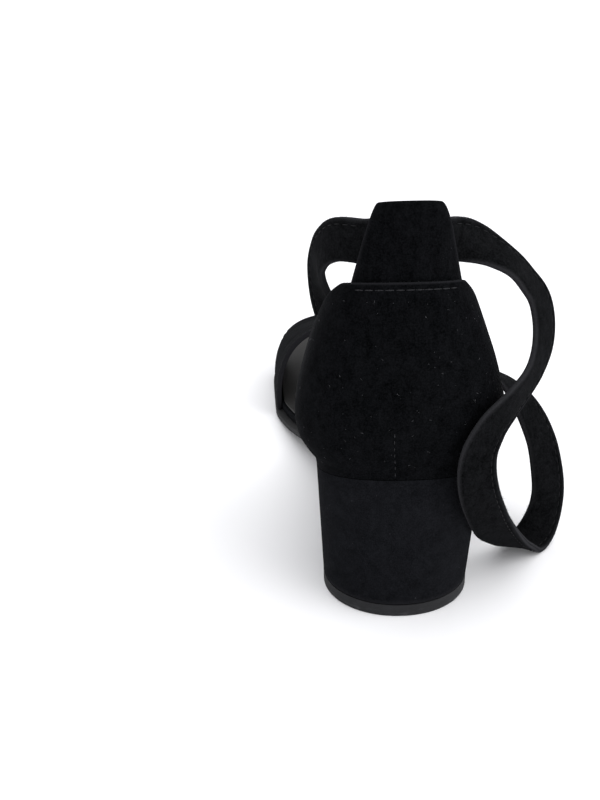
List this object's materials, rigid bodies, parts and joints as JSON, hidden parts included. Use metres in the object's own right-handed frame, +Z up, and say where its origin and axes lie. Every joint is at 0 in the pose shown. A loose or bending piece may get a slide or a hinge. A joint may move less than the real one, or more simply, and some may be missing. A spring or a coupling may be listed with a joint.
{
  "type": "lace up heeled sandal",
  "caption": "Open-toe suede sandal on a rounded block heel, with a closed high back, a folded back tab as a tunnel for a flat tie, and a wide toe band. Right shoe.",
  "frame": {"origin": "on the floor under the middle of the sandal's own box, its ties left out", "axes": "+Z up, +Y towards the toes, +X towards the little toe's side"},
  "size_m": [0.1091, 0.242, 0.1351],
  "materials": {
    "lift_rubber": "matt black rubber top lift",
    "heel_suede": "black suede stretched over the heel block",
    "sole_rubber": "matt black rubber sole",
    "board_cover": "covered fibre board",
    "sock_leather": "smooth black lining leather",
    "black_suede": "black suede with a short nap",
    "tie_suede": "black suede, two layers, stitched near one edge"
  },
  "bodies": {
    "root": {"top_lift": "lift_rubber", "heel_block": "heel_suede", "outsole": "sole_rubber", "insole_board": "board_cover", "sock": "sock_leather", "counter": "black_suede", "tab_casing": "black_suede", "toe_band": "black_suede", "tie_middle": "tie_suede", "tie_right": "tie_suede", "tie_left": "tie_suede"}
  },
  "joints": []
}
